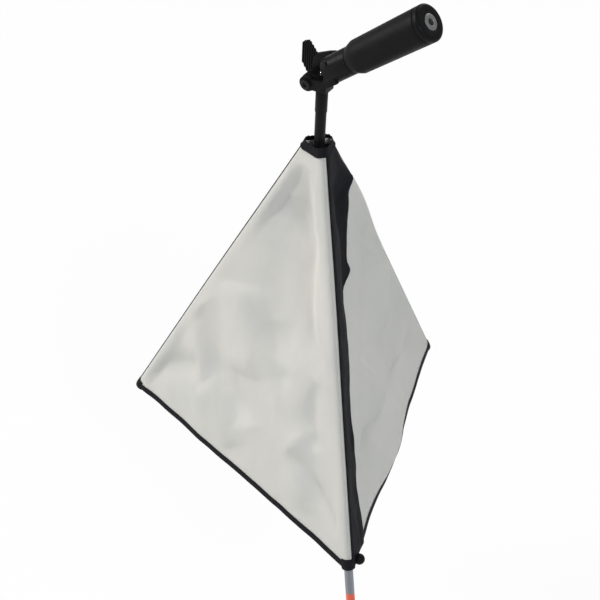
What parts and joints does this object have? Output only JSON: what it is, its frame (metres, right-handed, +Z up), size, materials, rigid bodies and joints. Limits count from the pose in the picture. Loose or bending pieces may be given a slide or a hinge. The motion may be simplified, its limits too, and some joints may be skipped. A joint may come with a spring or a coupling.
{
  "type": "snoot",
  "caption": "Three-sided cloth light cone on plug-in rods, hung from a half-inch stem in a tilting clamp head on a threaded hand grip.",
  "frame": {"origin": "centre of the lamp socket's mouth at the stem's lower end, inside the cone's apex", "axes": "+Z up along the stem, away from the cone's open mouth; the grip leans towards +X in the XZ plane and tilts about Y"},
  "size_m": [0.4321, 0.4321, 0.7134],
  "materials": {
    "white_cloth": "matte woven, faint sheen",
    "black_webbing": "matte woven tape",
    "black_plastic": "fine grained",
    "grip_rubber": "matte, slightly worn",
    "black_alloy": "black textured paint",
    "black_tube": "satin black",
    "grey_tube": "satin anodised grey",
    "orange_tip": "moulded",
    "grey_metal": "dull turned",
    "bright_steel": "bright",
    "black_steel": "black oxide"
  },
  "bodies": {
    "grip": {"grip_core": "black_alloy", "grip_barrel": "grip_rubber", "grip_end_ring": "black_plastic", "socket_bushing": "grey_metal", "tilt_bolt": "black_steel"},
    "lever": {"clamp_lever": "black_alloy"},
    "head": {"stem_clamp": "black_alloy", "friction_discs": "black_plastic"},
    "cone": {"stem_tube": "black_tube", "stem_sleeve": "black_plastic", "stem_plug": "black_plastic", "retaining_washer": "black_plastic", "retaining_screw": "bright_steel", "lamp_bushing": "grey_metal", "hub": "black_plastic", "hub_grub_screws": "black_steel", "rod_left": "grey_tube", "rod_right": "grey_tube", "panel_left": "white_cloth", "panel_right": "white_cloth", "panel_rear": "white_cloth", "rod_sleeve_near": "white_cloth", "rod_sleeve_left": "white_cloth", "rod_sleeve_right": "white_cloth", "binding_left": "black_webbing", "binding_right": "black_webbing", "binding_rear": "black_webbing", "corner_pocket_near": "black_webbing", "corner_pocket_left": "black_webbing", "corner_pocket_right": "black_webbing", "apex_band": "black_webbing", "closure_strip": "black_webbing", "strip_toggle": "black_plastic"},
    "loose_rod": {"rod_near": "grey_tube", "rod_near_tip": "orange_tip"}
  },
  "joints": [
    {"name": "head_tilt", "type": "hinge", "parent": "grip", "child": "head", "pos_m": [-0.012, 0, 0.1365], "axis": [0, 1, 0], "range_deg": [-55, 50]},
    {"name": "lever_turn", "type": "hinge", "parent": "grip", "child": "lever", "pos_m": [-0.012, 0, 0.1365], "axis": [0, 1, 0], "range_deg": [-60, 30]},
    {"name": "stem_swivel", "type": "hinge", "parent": "head", "child": "cone", "pos_m": [0, 0, 0.146], "axis": [0, 0, 1], "continuous": true},
    {"name": "rod_slide", "type": "slide", "parent": "cone", "child": "loose_rod", "axis": [0.3162, -0.3162, -0.8944], "range_m": [0, 0.15]}
  ]
}
